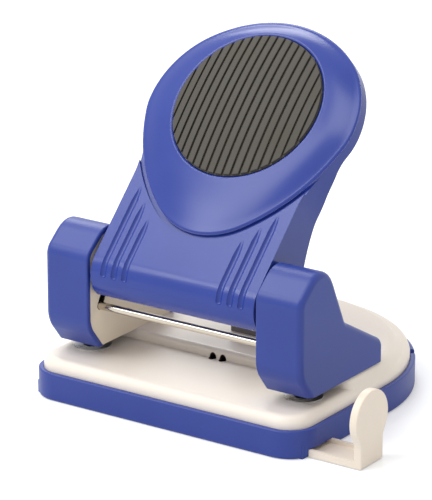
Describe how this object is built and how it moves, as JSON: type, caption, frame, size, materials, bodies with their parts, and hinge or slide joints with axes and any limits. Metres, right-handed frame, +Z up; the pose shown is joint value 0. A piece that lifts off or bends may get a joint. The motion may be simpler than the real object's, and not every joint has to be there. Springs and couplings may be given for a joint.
{
  "type": "hole punch",
  "caption": "Desk hole punch: tilting handle with round ribbed grip on two covered columns, steel plate over a chip tray, and a slide-out paper gauge.",
  "frame": {"origin": "on the desk surface, midway between the two punch axes", "axes": "+X along the paper's edge towards the gauge, -Y towards the person who feeds paper in, +Z up"},
  "size_m": [0.121, 0.1035, 0.1126],
  "materials": {
    "blue_plastic": "satin moulded",
    "cream_paint": "gloss enamel",
    "cream_plastic": "satin moulded",
    "grip_rubber": "matte ribbed",
    "stop_rubber": "matte",
    "plated_steel": "bright plated",
    "tool_steel": "ground"
  },
  "bodies": {
    "base": {"base_plate": "cream_paint", "bracket_rivets": "tool_steel", "cover_screws": "tool_steel", "pivot_axle": "tool_steel", "axle_clips": "tool_steel", "handle_stop": "stop_rubber", "stop_screws": "tool_steel", "left_die": "tool_steel", "left_bracket": "cream_paint", "left_column_cover": "blue_plastic", "left_guide_bush": "tool_steel", "left_spring": "tool_steel", "right_die": "tool_steel", "right_bracket": "cream_paint", "right_column_cover": "blue_plastic", "right_guide_bush": "tool_steel", "right_spring": "tool_steel"},
    "handle": {"handle_shell": "blue_plastic", "grip_pad": "grip_rubber", "press_bar": "tool_steel"},
    "left_punch": {"left_punch": "tool_steel"},
    "right_punch": {"right_punch": "tool_steel"},
    "lock_bar": {"lock_bar": "plated_steel", "lock_bar_clips": "tool_steel"},
    "chip_tray": {"chip_tray": "blue_plastic"},
    "paper_gauge": {"paper_gauge": "cream_plastic"}
  },
  "joints": [
    {"name": "handle_hinge", "type": "hinge", "parent": "base", "child": "handle", "pos_m": [0, -0.009, 0.0422], "axis": [-1, 0, 0], "range_deg": [0, 50], "stiffness_Nm_per_rad": 0.3, "springref_deg": -17.19},
    {"name": "left_punch_slide", "type": "slide", "parent": "base", "child": "left_punch", "axis": [0, 0, -1], "range_m": [0, 0.0084], "deforming": ["left_spring"]},
    {"name": "right_punch_slide", "type": "slide", "parent": "base", "child": "right_punch", "axis": [0, 0, -1], "range_m": [0, 0.0084], "deforming": ["right_spring"]},
    {"name": "lock_bar_slide", "type": "slide", "parent": "base", "child": "lock_bar", "axis": [0, 0.4695, 0.8829], "range_m": [0, 0.003]},
    {"name": "chip_tray_pull", "type": "slide", "parent": "base", "child": "chip_tray", "axis": [0, 0, -1], "range_m": [0, 0.03]},
    {"name": "paper_gauge_slide", "type": "slide", "parent": "chip_tray", "child": "paper_gauge", "axis": [1, 0, 0], "range_m": [-0.0133, 0.0816]}
  ],
  "couplings": [
    {"joint": "left_punch_slide", "follows": "handle_hinge", "m_per_rad": 0.009618},
    {"joint": "right_punch_slide", "follows": "handle_hinge", "m_per_rad": 0.009618}
  ]
}
